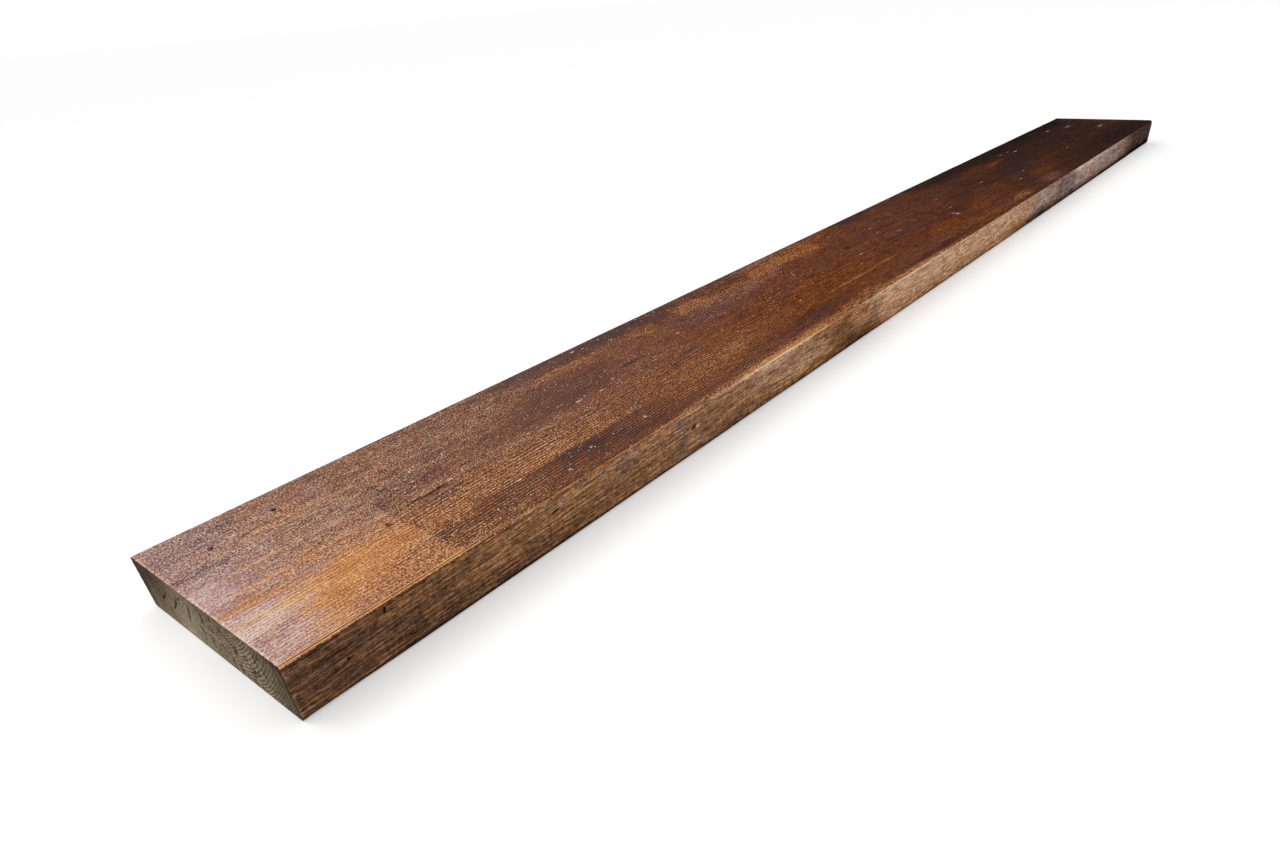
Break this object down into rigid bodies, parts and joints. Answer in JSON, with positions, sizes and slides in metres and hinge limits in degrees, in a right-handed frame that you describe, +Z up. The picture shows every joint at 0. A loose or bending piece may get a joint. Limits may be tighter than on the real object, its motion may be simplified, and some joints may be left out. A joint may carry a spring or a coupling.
{
  "type": "decking board",
  "caption": "Straight softwood plank of rectangular section with eased long edges and square crosscut ends, stained brown.",
  "frame": {"origin": "middle of the underside", "axes": "+X along the grain from the checked end to the other end, +Y from the marked front edge to the back edge, +Z up through the thickness"},
  "size_m": [1.5, 0.145, 0.032],
  "materials": {
    "stained_softwood": "planed softwood with a worn brown stain, bare grey end grain"
  },
  "bodies": {
    "root": {"decking_board": "stained_softwood"}
  },
  "joints": []
}
